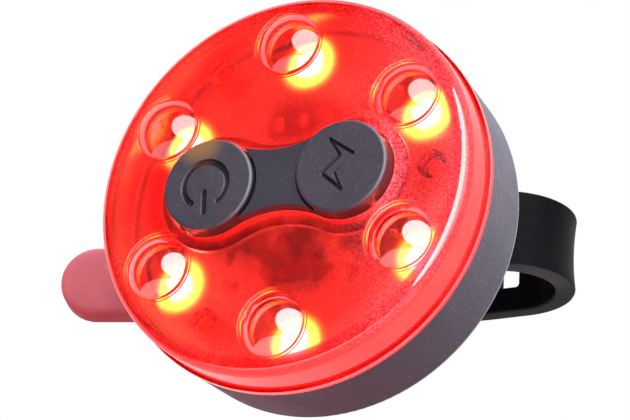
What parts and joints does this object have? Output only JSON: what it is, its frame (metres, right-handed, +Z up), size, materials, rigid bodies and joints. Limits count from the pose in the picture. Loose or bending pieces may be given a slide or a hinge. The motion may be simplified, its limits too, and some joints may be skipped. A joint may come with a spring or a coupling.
{
  "type": "bicycle rear light",
  "caption": "Round red rear light with clear bubbles over its lamps, two rubber push buttons, a grey case, and a rubber strap that hooks round a seat post.",
  "frame": {"origin": "middle of the curved saddle face that lies against the seat post", "axes": "-Y is where the light shines, +Z is up along the seat post, +X is to the right as seen from behind the bicycle, towards the side where the strap is pinned"},
  "size_m": [0.0695, 0.0411, 0.0508],
  "materials": {
    "red_lens": "clear red moulded polycarbonate",
    "grey_case": "fine matte moulded texture",
    "seal_rubber": "matte",
    "button_rubber": "satin silicone",
    "black_plastic": "matte",
    "steel": "plain",
    "board": "solder mask",
    "components": "matte",
    "lamp": "clear over yellow phosphor, lit",
    "connector_plastic": "plain",
    "lead_insulation": "satin",
    "cell_foil": "dull foil",
    "foam": "open foam",
    "bracket_plastic": "moulded nylon",
    "strap_rubber": "satin silicone",
    "tab_rubber": "satin silicone"
  },
  "bodies": {
    "light": {"lens_cover": "red_lens", "case_shell": "grey_case", "sealing_ring": "seal_rubber", "button_pad": "button_rubber", "power_switch": "steel", "mode_switch": "steel", "circuit_board": "board", "led_1": "lamp", "led_2": "lamp", "led_3": "lamp", "led_4": "lamp", "led_5": "lamp", "led_6": "lamp", "control_chip": "black_plastic", "small_components": "components", "charging_socket": "steel", "socket_tongue": "black_plastic", "battery_connector": "connector_plastic", "battery_leads": "lead_insulation", "battery_cell": "cell_foil", "battery_foam_pad": "foam", "case_screws": "steel", "mount_bracket": "bracket_plastic", "saddle_pad": "seal_rubber", "bracket_screws": "steel", "anchor_pin": "steel"},
    "power_key": {"power_button": "button_rubber", "power_switch_stem": "black_plastic"},
    "mode_key": {"mode_button": "button_rubber", "mode_switch_stem": "black_plastic"},
    "cover": {"port_cover": "strap_rubber"},
    "strap_body": {"strap": "strap_rubber", "pull_tab": "tab_rubber"}
  },
  "joints": [
    {"name": "power_press", "type": "slide", "parent": "light", "child": "power_key", "axis": [0, 1, 0], "range_m": [0, 0.0005], "stiffness_N_per_m": 3000},
    {"name": "mode_press", "type": "slide", "parent": "light", "child": "mode_key", "axis": [0, 1, 0], "range_m": [0, 0.0005], "stiffness_N_per_m": 3000},
    {"name": "cover_hinge", "type": "hinge", "parent": "light", "child": "cover", "pos_m": [-0.0074, -0.0107, 0.02311], "axis": [0, -1, 0], "range_deg": [0, 90]},
    {"name": "strap_hinge", "type": "hinge", "parent": "light", "child": "strap_body", "pos_m": [0.015, 0.0029, 0], "axis": [0, 0, -1], "range_deg": [0, 35]}
  ]
}
